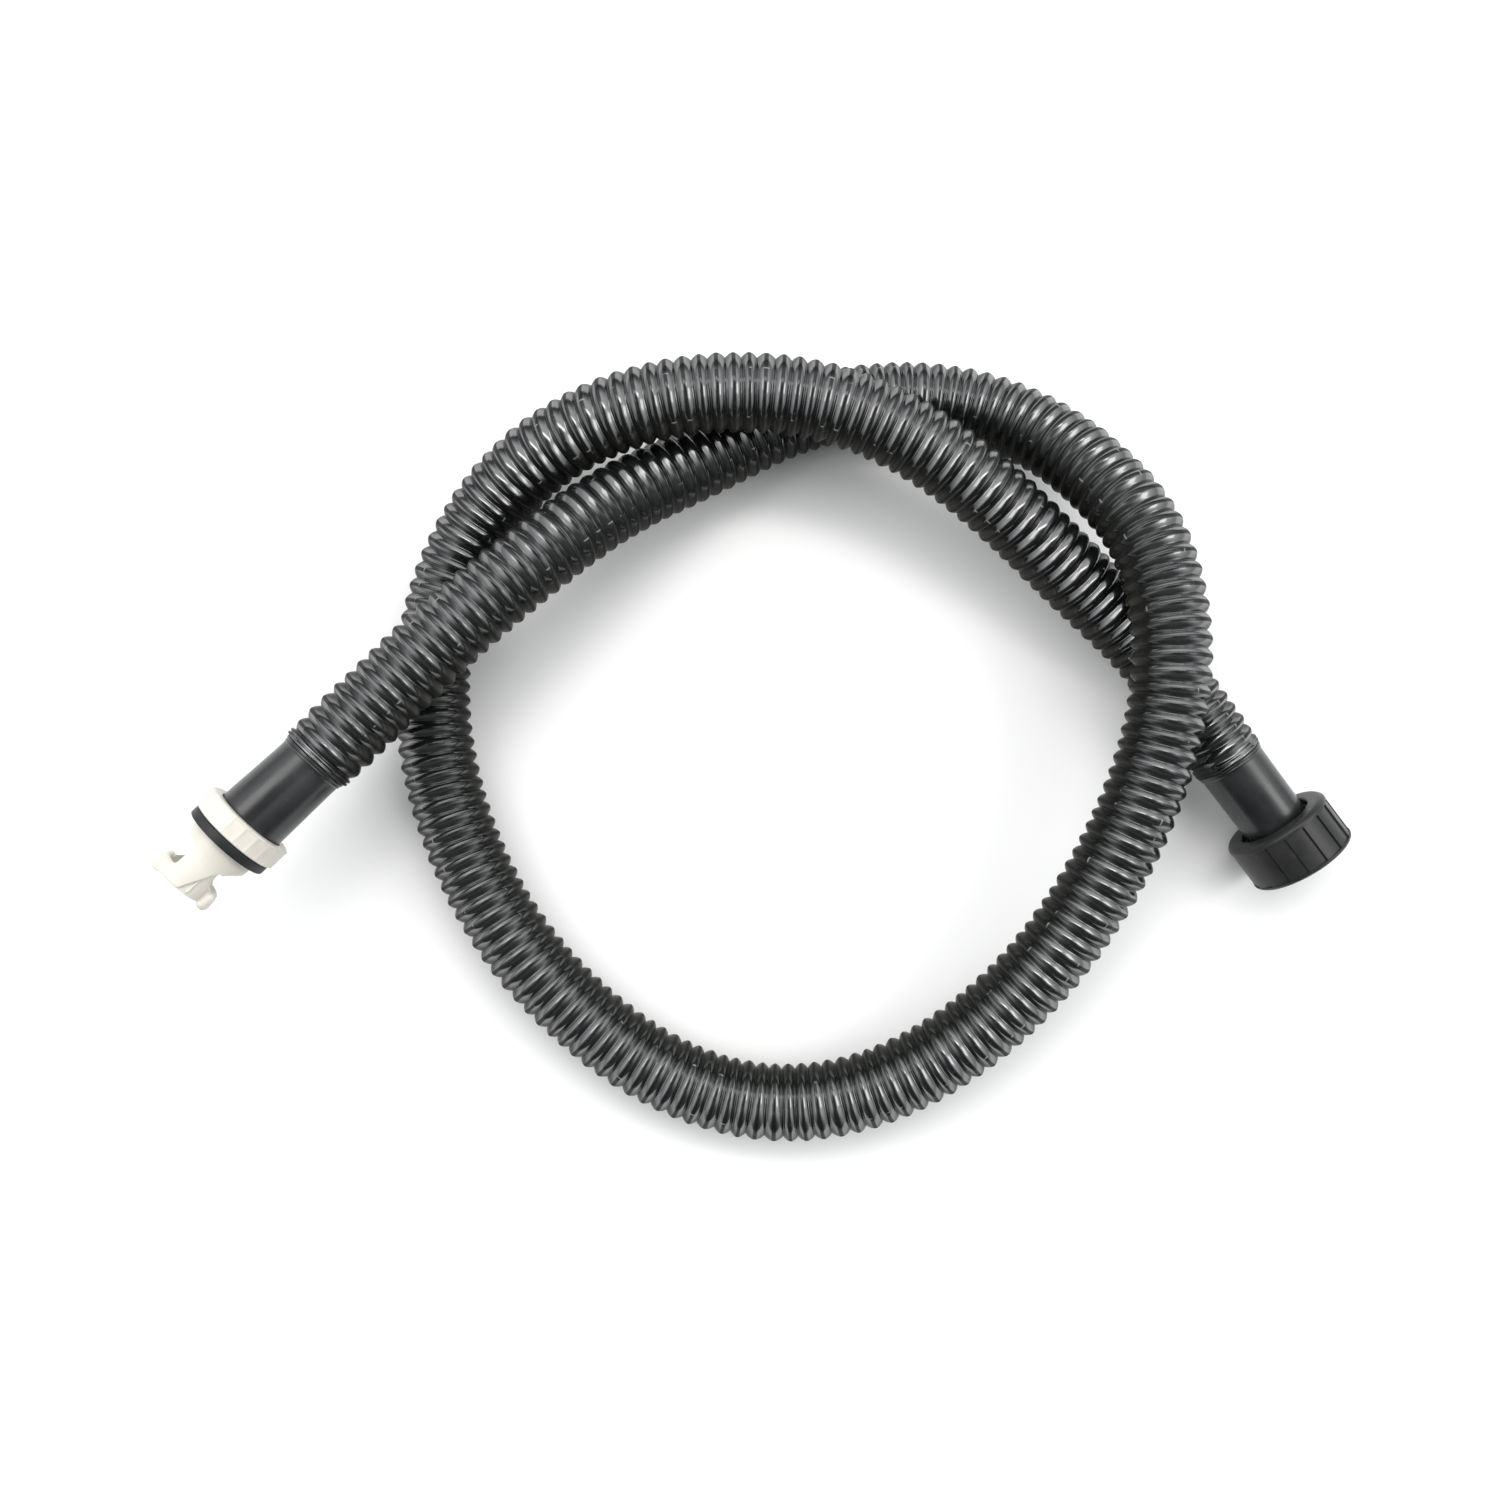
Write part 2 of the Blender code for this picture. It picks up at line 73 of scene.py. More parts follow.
# The centre line in millimetres, from the valve end to the pump end
ROUTE_MM = (
    VALVE_END,
    (-217, 58, 66.5),
    (-181, 95, 64),
    (-132.2, 139.8, 57.5),
    (-84.3, 178.8, 41),
    (-43.4, 203, 27.5),
    (9, 230, 21.6),
    (72, 242, 21.6),
    (111, 237.5, 24.5),
    (147, 220, 35),
    (176.8, 188.2, 54),
    (197, 152, 68),
    (206, 112, 73.5),
    (207, 78, 73.5),
    (202, 44, 71),
    (190, 5, 66),
    (170, -38, 58.5),
    (145, -77, 50),
    (95, -126, 38),
    (47, -151, 30),
    (-14, -157, 23.5),
    (-69, -138, 21.6),
    (-110, -108, 21.6),
    (-145, -70, 21.6),
    (-176, -14, 21.6),
    (-192.6, 48, 21.6),
    (-192.8, 99.5, 21.6),
    (-180.2, 143.8, 23.5),
    (-154.6, 181.4, 34),
    (-117.3, 208, 50),
    (-74.5, 223.2, 61),
    (-20, 229.6, 64.5),
    (35.5, 221.8, 63.5),
    (98, 191, 57),
    (140, 160, 45),
    (178, 128, 34),
    (213, 95, 29.5),
    (235, 64, 29.6),
    PUMP_END,
)

# The tube as a whole, in metres
ROUTE_STEP = 1 * MM
PATH_EVERY = 5  # the path keeps every fifth point of the route

# Corrugations, in millimetres
HOSE_SIDES = 40
HOSE_SEED = 11
CREST_R = 20.95
END_CREST_R = 20.3
ROOT_R = 18.1
BORE_R = 16.5
PITCH = 8.45
RING_POWER = 1.85  # 2 makes each ring a parabola, and less makes its crest sharper
PITCH_SPREAD = 0.035  # as a share of the pitch
TILT_SPREAD = radians(0.9)
CREST_SPREAD = 0.22
# Where the wall's points are across one ring, as shares of it, closer together on the crest
RING_SHARES = (0, 0.11, 0.24, 0.35, 0.44, 0.5, 0.56, 0.65, 0.76, 0.89)
# The two lips at each end, as (distance from the end, radius)
END_LIPS = (
    (0, 19.2),
    (0.3, 19.9),
    (1.2, 20.0),
    (1.6, 19.1),
    (2.1, 19.2),
    (2.5, 20.1),
    (3.3, 20.0),
    (3.8, 18.6),
)
LIP_CRESTNESS = 0.4
PARTING_ANGLES = (53, 127)  # degrees round the tube, where small moulded nicks run in a row

# Fittings, in millimetres
CUFF_BORE_R = 15.6
SPIGOT_BORE_R, SPIGOT_R = 12.9, 15.3
SPIGOT_LENGTH = 24  # behind the flange
THREAD_PITCH = 4
THREAD_HEIGHT = 1.8
THREAD_STEPS = 10  # levels to a turn
SIDES = 96
SHARP_ANGLE = radians(32)

# Bayonet adaptor, in millimetres. A reach is a distance in front of the gasket.
GASKET_FACE = 60.4
ADAPTOR_BORE_R = 12.8
BARREL_R = 16.6
RECESS_R = 14.7  # between the upper shell's slanting edge and the lower shell's roll
# The upper edge of the opening between the neck and the lower shell's roll, as (reach, degree)
WINDOW_EDGE = (
    (6.9, 0),
    (8.2, 20),
    (10.7, 34),
    (12.5, 41),
    (14.3, 44),
    (16, 43.5),
    (17.5, 40),
    (18.8, 34),
    (19.9, 25.5),
    (20.8, 12),
    (21.5, 1),
)
VOXEL = 0.32

# Studio, in metres
FLOOR_REACH = 4
FLOOR_Z = -0.0004

# Sockets of Blender's Mix node when it mixes colours
MIX_ONE, MIX_TWO, MIX_RESULT = 6, 7, 2


def outward(yaw, pitch):
    """The way out of a fitting that points in these directions, in degrees."""
    level = cos(radians(pitch))
    return Vector((level * cos(radians(yaw)), level * sin(radians(yaw)), sin(radians(pitch))))


def placed(point_mm):
    """A point in the frame's own metres."""
    return (Vector(point_mm) - Vector(ORIGIN_MM)) * MM


def fitting_frame(end_mm, yaw, pitch):
    """The frame of a fitting, whose Z points outwards and whose Y points up."""
    along = outward(yaw, pitch)
    side = Vector((0, 0, 1)).cross(along).normalized()
    turn = Matrix((side, along.cross(side), along)).transposed().to_4x4()
    return Matrix.Translation(placed(end_mm)) @ turn


PUMP_FRAME = fitting_frame(PUMP_END, PUMP_YAW, PUMP_PITCH)
VALVE_FRAME = fitting_frame(VALVE_END, VALVE_YAW, VALVE_PITCH)


# ---------------------------------------------------------------- materials


class Shader:
    """A Principled material, with a short way to add nodes to it."""

    def __init__(self, name, roughness, specular):
        self.material = bpy.data.materials.new(name)
        self.material.use_nodes = True
        self.tree = self.material.node_tree
        self.principled = self.tree.nodes["Principled BSDF"]
        self.principled.inputs["Roughness"].default_value = roughness
        self.principled.inputs["Specular IOR Level"].default_value = specular

    def add(self, kind, inputs, output=0, **settings):
        node = self.tree.nodes.new("ShaderNode" + kind)
        for name, value in settings.items():
            setattr(node, name, value)
        for key, value in inputs.items():
            if isinstance(value, bpy.types.NodeSocket):
                self.tree.links.new(value, node.inputs[key])
            else:
                node.inputs[key].default_value = value
        return node.outputs[output]

    def set(self, name, socket):
        self.tree.links.new(socket, self.principled.inputs[name])

    def own_coordinates(self):
        return self.add("TexCoord", {}, output="Object")

    def attribute(self, name):
        return self.add("Attribute", {}, output="Vector", attribute_name=name)

    def split(self, vector):
        node = self.tree.nodes.new("ShaderNodeSeparateXYZ")
        self.tree.links.new(vector, node.inputs[0])
        return node.outputs

    def stretched(self, coordinates, scale):
        return self.add("VectorMath", {0: coordinates, 1: scale}, operation="MULTIPLY")

    def noise(self, coordinates, scale, detail=2.0, roughness=0.5):
        inputs = {"Vector": coordinates, "Scale": scale, "Detail": detail, "Roughness": roughness}
        return self.add("TexNoise", inputs)

    def ramp(self, value, low, high, to_low=0.0, to_high=1.0):
        inputs = {"Value": value, 1: low, 2: high, 3: to_low, 4: to_high}
        return self.add("MapRange", inputs, interpolation_type="SMOOTHSTEP")

    def math(self, operation, one, two=0.0):
        return self.add("Math", {0: one, 1: two}, operation=operation)

    def mix(self, share, one, two):
        one, two = [(*colour, 1) if isinstance(colour, tuple) else colour for colour in (one, two)]
        return self.add("Mix", {0: share, MIX_ONE: one, MIX_TWO: two}, output=MIX_RESULT, data_type="RGBA")

    def bump(self, height, distance, strength):
        inputs = {"Height": height, "Distance": distance, "Strength": strength}
        self.set("Normal", self.add("Bump", inputs))


def parting_nicks(shader, tube, crestness):
    """Where the small nicks are: on some of the crests, along the mould's parting lines."""
    across, up = shader.split(tube)[:2]
    seam = None
    for angle in PARTING_ANGLES:
        one = shader.math("MULTIPLY", across, sin(radians(angle)))
        two = shader.math("MULTIPLY", up, cos(radians(angle)))
        away = shader.math("ABSOLUTE", shader.math("SUBTRACT", one, two))
        seam = shader.math("MINIMUM", seam, away) if seam else away
    on_seam = shader.ramp(seam, 0.3 * MM, 0.6 * MM, 1, 0)
    on_crest = shader.ramp(crestness, 0.55, 0.75)
    some = shader.ramp(shader.noise(tube, 150, 2), 0.56, 0.64)
    return shader.math("MULTIPLY", shader.math("MULTIPLY", on_seam, on_crest), some)


def hose_material():
    """Blow-moulded polyethylene: glossy flanks, matt crests, streaks, dust and rows of nicks.

    The mesh carries "tube", the straightened tube's coordinates, and "shape", whose first value
    is 0 in a valley and 1 on a crest and whose second is how far the surface faces up at rest.
    The gloss is a coat that fades where the surface doesn't face up, and the brownish tint there is painted
    shade and painted floor reflection.
    """
    shader = Shader("hose_polyethylene", 0.3, 0.04)
    tube = shader.attribute("tube")
    streaks = shader.noise(shader.stretched(tube, (45, 45, 1900)), 1, 3, 0.65)
    dust = shader.noise(tube, 260, 4, 0.62)
    patches = shader.noise(tube, 26, 2)
    crestness, facing_up = shader.split(shader.attribute("shape"))[:2]
    crest = shader.ramp(crestness, 0.7, 0.84)
    valley = shader.ramp(crestness, 0.05, 0.2, 1, 0)
    worn = shader.math("MULTIPLY", crest, shader.ramp(shader.noise(tube, 520, 3, 0.7), 0.6, 0.74))
    colour = shader.mix(shader.ramp(streaks, 0.35, 0.75), (0.004, 0.0048, 0.005), (0.011, 0.012, 0.012))
    colour = shader.mix(shader.ramp(dust, 0.55, 0.85, 0, 0.3), colour, (0.07, 0.066, 0.056))
    colour = shader.mix(shader.math("MULTIPLY", worn, 0.3), colour, (0.13, 0.12, 0.105))
    colour = shader.mix(parting_nicks(shader, tube, crestness), colour, (0.2, 0.2, 0.19))
    # Painted shade and painted floor reflection: a brownish tint on the sides that face away from up
    colour = shader.mix(shader.ramp(facing_up, 0.2, 0.7, 0.22, 0), colour, (0.055, 0.05, 0.042))
    shader.set("Base Color", colour)
    streaky = shader.ramp(streaks, 0.3, 0.75, 0.16, 0.34)
    rough = shader.math("ADD", streaky, shader.ramp(patches, 0.3, 0.7, 0, 0.08))
    shader.set("Roughness", shader.math("ADD", rough, shader.math("MULTIPLY", crest, 0.25)))
    matt = shader.math("MAXIMUM", crest, valley)
    gloss = shader.math("SUBTRACT", 1.0, shader.math("MULTIPLY", matt, 0.82))
    gloss = shader.math("MULTIPLY", gloss, shader.ramp(facing_up, 0.42, 0.76, 0.06, 1))
    shader.set("Coat Weight", gloss)
    shader.principled.inputs["Coat Roughness"].default_value = 0.15
    shader.principled.inputs["Coat IOR"].default_value = 2.4
    height = shader.math("ADD", shader.math("MULTIPLY", streaks, 0.8), shader.math("MULTIPLY", dust, 0.3))
    shader.bump(height, 0.12 * MM, 0.8)
    return shader.material


def plastic(name, specular, roughness, tones, grain, scuffs):
    """Moulded plastic: a fine grain, slow changes of tone and gloss, and a few scuffs.

    Tones are a dark and a light colour, grain its scale and depth, scuffs their colour and amount.
    """
    shader = Shader(name, roughness, specular)
    grain_scale, grain_depth = grain
    scuff_colour, scuff_amount = scuffs
    own = shader.own_coordinates()
    slow = shader.noise(own, 45, 3)
    fine = shader.noise(own, grain_scale, 3, 0.6)
    colour = shader.mix(shader.ramp(slow, 0.3, 0.7), *tones)
    rough = shader.ramp(slow, 0.25, 0.75, roughness - 0.06, roughness + 0.06)
    marks = shader.noise(shader.stretched(own, (1, 1, 0.35)), 210, 5, 0.72)
    marks = shader.ramp(marks, 0.58, 0.76)
    patches = shader.ramp(shader.noise(own, 34, 1), 0.42, 0.66)
    marks = shader.math("MULTIPLY", marks, patches)
    colour = shader.mix(shader.math("MULTIPLY", marks, scuff_amount), colour, scuff_colour)
    rough = shader.math("ADD", rough, shader.math("MULTIPLY", marks, 0.15))
    height = shader.math("SUBTRACT", fine, shader.math("MULTIPLY", marks, 0.5))
    shader.set("Base Color", colour)
    shader.set("Roughness", rough)
    shader.bump(height, grain_depth, 0.6)
    return shader.material


# ---------------------------------------------------------------- mesh helpers


def rounded(outline, segments=4):
    """An outline of (radius, height, fillet) corners, as (radius, height) points round each fillet."""
    points = []
    count = len(outline)
    for i, corner in enumerate(outline):
        here = np.array(corner[:2], float)
        fillet = corner[2] if len(corner) > 2 else 0
        before = np.array(outline[i - 1][:2], float) - here
        after = np.array(outline[(i + 1) % count][:2], float) - here
        if not fillet:
            points.append(tuple(here))
            continue
        back, ahead = np.linalg.norm(before), np.linalg.norm(after)
        reach = min(fillet, 0.45 * back, 0.45 * ahead)
        start, end = here + before / back * reach, here + after / ahead * reach
        for t in np.linspace(0, 1, segments + 1):
            points.append(tuple((1 - t) ** 2 * start + 2 * t * (1 - t) * here + t**2 * end))
    return points


def swept(outline, angles=None, radius_at=None):
    """A closed outline of (radius, height) points swept round local Z, in a new bmesh."""
    bm = bmesh.new()
    angles = angles or [2 * pi * i / SIDES for i in range(SIDES)]
    rings = []
    for radius, height in outline:
        ring = []
        for angle in angles:
            r = radius_at(radius, height, angle) if radius_at else radius
            ring.append(bm.verts.new((r * cos(angle), r * sin(angle), height)))
        rings.append(ring)
    count = len(angles)
    for one, two in zip(rings, rings[1:] + rings[:1]):
        for i in range(count):
            j = (i + 1) % count
            bm.faces.new((one[i], one[j], two[j], two[i]))
    return bm


def mesh_from(name, bm, material):
    """A mesh in metres from a bmesh in millimetres, shaded smooth between its sharp edges."""
    bmesh.ops.recalc_face_normals(bm, faces=bm.faces)
    bmesh.ops.scale(bm, vec=(MM, MM, MM), verts=bm.verts)
    mesh = bpy.data.meshes.new(name)
    bm.to_mesh(mesh)
    bm.free()
    mesh.shade_smooth()
    mesh.set_sharp_from_angle(angle=SHARP_ANGLE)
    mesh.materials.append(material)
    return mesh


def add_piece(name, mesh, place, body, node):
    """An object in its place that rides on a body and stands for a CAD node."""
    piece = bpy.data.objects.new(name, mesh)
    bpy.context.collection.objects.link(piece)
    piece.matrix_world = place
    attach(piece, body)
    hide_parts(node)
    return piece


def thread_levels(start, end):
    """Heights from start to end, close enough together to draw a thread."""
    steps = round((end - start) / THREAD_PITCH * THREAD_STEPS)
    return [start + (end - start) * i / steps for i in range(steps + 1)]


def thread_ridge(height, angle, start, end, turned_by):
    """0 at a root and 1 at a crest of a right-hand thread, fading to 0 at both ends."""
    fade_over = THREAD_PITCH / 2
    fade = min(1, (height - start) / fade_over, (end - height) / fade_over)
    phase = 2 * pi * height / THREAD_PITCH - angle - turned_by
    return max(0, fade) * (0.5 + 0.5 * cos(phase))


# ---------------------------------------------------------------- camera and hose


def add_camera():
    camera = bpy.data.objects.new("camera", bpy.data.cameras.new("camera"))
    bpy.context.collection.objects.link(camera)
    camera.data.lens = CAMERA_LENS
    camera.data.sensor_width = 36
    back = (Vector(CAMERA_AT) - Vector(CAMERA_TARGET)).normalized()
    right = (Vector((1, 0, 0)) - back * back.x).normalized()
    turn = Matrix((right, back.cross(right), back)).transposed().to_4x4()
    camera.matrix_world = Matrix.Translation(CAMERA_AT) @ turn
    bpy.context.scene.camera = camera


def smooth_route(points, start_way, end_way, spacing):
    """Evenly spaced points along the cubic spline with continuous curvature through points."""
    samples = 40  # between one point and the next
    points = np.array(points, float)
    chords = np.linalg.norm(np.diff(points, axis=0), axis=1)
    count = len(points)
    system = np.eye(count)
    known = np.zeros((count, 3))
    known[0], known[-1] = start_way, end_way
    for i in range(1, count - 1):
        before, after = chords[i - 1], chords[i]
        system[i, i - 1 : i + 2] = after, 2 * (before + after), before
        back = (points[i] - points[i - 1]) / before
        ahead = (points[i + 1] - points[i]) / after
        known[i] = 3 * (after * back + before * ahead)
    slopes = np.linalg.solve(system, known)
    dense = []
    for i in range(count - 1):
        for t in np.linspace(0, 1, samples, endpoint=False):
            dense.append(
                (2 * t**3 - 3 * t**2 + 1) * points[i]
                + (t**3 - 2 * t**2 + t) * chords[i] * slopes[i]
                + (3 * t**2 - 2 * t**3) * points[i + 1]
                + (t**3 - t**2) * chords[i] * slopes[i + 1]
            )
    dense = np.array(dense + [points[-1]])
    steps = np.linalg.norm(np.diff(dense, axis=0), axis=1)
    travelled = np.concatenate([[0], np.cumsum(steps)])
    wanted = np.linspace(0, travelled[-1], round(travelled[-1] / spacing) + 1)
    return columns_at(wanted, travelled, dense), travelled[-1]


def carried_sides(ways):
    """A side direction at each point, carried along the line without twisting."""
    side = np.cross(ways[0], (0, 0, 1))
    sides = []
    for way in ways:
        side = side - way * (side @ way)
        side = side / np.linalg.norm(side)
        sides.append(side)
    return np.array(sides)


def corrugation_rows(length, rng):
    """(distance, radius, tilt across, tilt up, crestness) of each row of the wall's points.

    Distances and radii are in millimetres. Crestness is 0 in a valley and 1 on a crest.
    """
    lip = END_LIPS[-1][0] + 0.5
    count = round((length - 2 * lip) / PITCH)
    pitches = 1 + PITCH_SPREAD * rng.standard_normal(count).clip(-2, 2)
    edges = lip + np.concatenate([[0], np.cumsum(pitches)]) / pitches.sum() * (length - 2 * lip)
    tilts = TILT_SPREAD * rng.standard_normal((count + 1, 2)).clip(-2, 2)
    tilts[:3] = tilts[-3:] = 0  # the rings beside the cuffs stay square to the tube
    crests = CREST_R - CREST_SPREAD * rng.random(count)
    crests[0] = crests[-1] = END_CREST_R
    rows = [(at, radius, 0, 0, LIP_CRESTNESS) for at, radius in END_LIPS]
    for i in range(count):
        for share in RING_SHARES:
            off_crest = abs(2 * share - 1)
            radius = ROOT_R + (crests[i] - ROOT_R) * (1 - off_crest**RING_POWER)
            tilt = tilts[i] * (1 - share) + tilts[i + 1] * share
            at = edges[i] + share * (edges[i + 1] - edges[i])
            rows.append((at, radius, *tilt, 1 - off_crest))
    rows += [(length - at, radius, 0, 0, LIP_CRESTNESS) for at, radius in reversed(END_LIPS)]
    return rows, count


def unit(vectors):
    """Each row of vectors, made one unit long."""
    return vectors / np.linalg.norm(vectors, axis=1)[:, None]


def columns_at(wanted, travelled, values):
    """Three-column values, given at the distances travelled, read off at the wanted distances."""
    return np.column_stack([np.interp(wanted, travelled, values[:, k]) for k in range(3)])


def tube_mesh(name, points, straight, crestness, material):
    """A closed tube of rows of points, the last row joined to the first, with its attributes."""
    total, around = points.shape[:2]
    row, place = np.meshgrid(np.arange(total), np.arange(around), indexing="ij")
    row, after = row * around, (row + 1) % total * around
    beside = (place + 1) % around
    faces = np.stack([row + place, row + beside, after + beside, after + place], axis=2).reshape(-1, 4)
    mesh = bpy.data.meshes.new(name)
    mesh.from_pydata(points.reshape(-1, 3).tolist(), [], faces.tolist())
    normals = np.empty(len(mesh.vertices) * 3, np.float32)
    mesh.vertices.foreach_get("normal", normals)
    facing_up = normals[2::3]
    shape = np.zeros((total * around, 3))
    shape[:, 0] = np.repeat(crestness, around)
    shape[:, 1] = facing_up
    for attribute_name, values in (("tube", straight), ("shape", shape)):
        attribute = mesh.attributes.new(attribute_name, "FLOAT_VECTOR", "POINT")
        attribute.data.foreach_set("vector", values.astype(np.float32).ravel())
    mesh.shade_smooth()
    mesh.materials.append(material)
    return mesh


def make_hose(material):
    """The corrugated tube: its outer wall out along the route and its bore back again."""
    start_way = -outward(VALVE_YAW, VALVE_PITCH)
    end_way = outward(PUMP_YAW, PUMP_PITCH)
    route = [placed(point) for point in ROUTE_MM]
    line, length = smooth_route(route, start_way, end_way, ROUTE_STEP)
    ways = np.gradient(line, axis=0)
    ways[0], ways[-1] = start_way, end_way
    ways = unit(ways)
    sides = carried_sides(ways)
    travelled = np.linspace(0, length, len(line))

    rows, count = corrugation_rows(length / MM, np.random.default_rng(HOSE_SEED))
    bore = [(at, BORE_R, 0, 0, 0) for at in np.linspace(length / MM, 0, count // 2)]
    at, radius, tilt_across, tilt_up, crestness = np.array(rows + bore).T
    at, radius = at * MM, radius[:, None, None] * MM
    centres = columns_at(at, travelled, line)
    way = unit(columns_at(at, travelled, ways))
    side = columns_at(at, travelled, sides)
    side = unit(side - way * (side * way).sum(1)[:, None])
    up = np.cross(way, side)

    angles = np.linspace(0, 2 * pi, HOSE_SIDES, endpoint=False)
    cosines, sines = np.cos(angles)[None, :, None], np.sin(angles)[None, :, None]
    lean = tilt_across[:, None, None] * cosines + tilt_up[:, None, None] * sines
    round_way = cosines * side[:, None] + sines * up[:, None]
    points = centres[:, None] + radius * (round_way + lean * way[:, None])
    straight = np.empty(points.shape)
    straight[..., :1] = radius * cosines
    straight[..., 1:2] = radius * sines
    straight[..., 2] = at[:, None]
    mesh = tube_mesh("corrugated_hose", points, straight, crestness, material)
    hose = add_piece("corrugated_hose", mesh, Matrix.Identity(4), "root", "hose")
    return hose, line[::PATH_EVERY], length


# ---------------------------------------------------------------- pieces of both fittings


def make_cuff(name, end, hose_r, nut_r, place, node, material):
    """The soft cuff moulded onto the tube's end, with two fine bands where it starts."""
    outline = [
        (CUFF_BORE_R, 0.3),
        (hose_r + 1.1, 0.3, 0.3),
        (hose_r + 1.1, 1.7, 0.3),
        (hose_r + 0.35, 2.0, 0.15),
        (hose_r + 0.6, 2.5, 0.2),
        (hose_r + 0.5, 3.3, 0.2),
        (hose_r + 0.05, 3.7, 0.2),
        (hose_r, 8, 2.5),
        (nut_r, end - 8, 5),
        (nut_r, end - 0.6, 0.4),
        (nut_r - 0.5, end, 0.3),
        (CUFF_BORE_R, end),
    ]
    add_piece(name, mesh_from(name, swept(rounded(outline)), material), place, "root", node)


def make_tailpiece(name, flange_r, flange_start, flange_end, place, node, material):
    """The rigid spigot inside a cuff, with the flange that the nut pulls on."""
    start = flange_start - SPIGOT_LENGTH
    outline = [
        (SPIGOT_BORE_R, start, 0.4),
        (SPIGOT_R - 0.8, start, 0.4),
        (SPIGOT_R, start + 1.5, 0.5),
        (SPIGOT_R, flange_start),
        (flange_r, flange_start, 0.3),
        (flange_r, flange_end, 0.4),
        (SPIGOT_BORE_R, flange_end, 0.6),
    ]
    add_piece(name, mesh_from(name, swept(rounded(outline)), material), place, "root", node)


def make_ring(name, inner, outer, start, end, fillet, place, body, node, slot, material):
    """A plain ring with rounded edges: a seal, a gasket or a slip ring."""
    outline = [(inner, start, fillet), (outer, start, fillet), (outer, end, fillet), (inner, end, fillet)]
    add_piece(name, mesh_from(name, swept(rounded(outline)), material), place, body, node)


# ---------------------------------------------------------------- pump end


def make_pump_nut(material):
    """The large nut: 16 recessed panels that step up one after another, and a female thread."""
    back, front = 43.5, 72.0
    outer, hole, chamber, minor = 29.8, 20.4, 26.4, 25.0
    panel_start, panel_end = back + 3.8, front - 2.2
    thread_start, thread_end = back + 12.5, front - 0.8
    grips, recess, edge = 16, 0.3, 0.25
    step = 2 * pi / grips
    # Depth below the rim across one panel: a step down, a fine groove, then a slow rise
    profile = ((0, 0), (0.03, 0), (0.055, 1.15), (0.085, 1.15), (0.115, 0.75), (1, 0))
    shares, depths = zip(*profile)

    def radius_at(radius, height, angle):
        if radius == outer and panel_start < height < panel_end:
            return radius - recess - float(np.interp(angle % step / step, shares, depths))
        if radius == minor:
            ridge = thread_ridge(height, angle, thread_start, thread_end, pi)
            return radius + THREAD_HEIGHT * (1 - ridge)
        return radius

    outline = [
        (hole, back + 1.0, 0.5),
        (hole + 0.9, back, 0.5),
        (outer - 1.9, back, 0.9),
        (outer, back + 1.9, 0.9),
        (outer, panel_start),
        (outer, panel_start + edge),
    ]
    outline += [(outer, panel_start + (panel_end - panel_start) * t) for t in (0.25, 0.5, 0.75)]
    outline += [
        (outer, panel_end - edge),
        (outer, panel_end),
        (outer, panel_end + 0.4, 0.2),
        (outer - 0.2, front - 1.0, 1.0),
        (outer - 1.4, front, 0.9),
        (minor + 2.6, front, 0.6),
    ]
    outline += [(minor, height) for height in reversed(thread_levels(thread_start, thread_end))]
    outline += [(chamber, thread_start - 1.2, 0.4), (chamber, back + 3.5, 0.6), (hole, back + 3.5, 0.5)]
    spread = (0, 0.03, 0.055, 0.085, 0.115, 0.25, 0.4, 0.55, 0.7, 0.85)
    angles = [step * (i + share) for i in range(grips) for share in spread]
    mesh = mesh_from("pump_grip_nut", swept(rounded(outline), angles, radius_at), material)
    add_piece("pump_grip_nut", mesh, PUMP_FRAME, "pump_nut", "pump_union_nut")


def make_pump_end(cuff, black, rubber):
    """The pump end. A ring's measures are its inner and outer radius, start, end and fillet."""
    place = PUMP_FRAME
    make_cuff("pump_end_cuff", 51.5, 18.4, 17.9, place, "pump_cuff", cuff)
    make_tailpiece("pump_end_spigot", 24.7, 51.8, 54.8, place, "pump_tailpiece", black)
    slip = (18.5, 24.7, 47.3, 51.5, 0.5)
    make_ring("pump_end_ring", *slip, place, "slip_ring", "pump_slip_ring", "black_plastic", black)
    seal = (14.5, 24.3, 55.1, 57.6, 0.6)
    make_ring("pump_end_seal", *seal, place, "root", "pump_face_seal", "rubber", rubber)
    make_pump_nut(black)


# ---------------------------------------------------------------- valve end


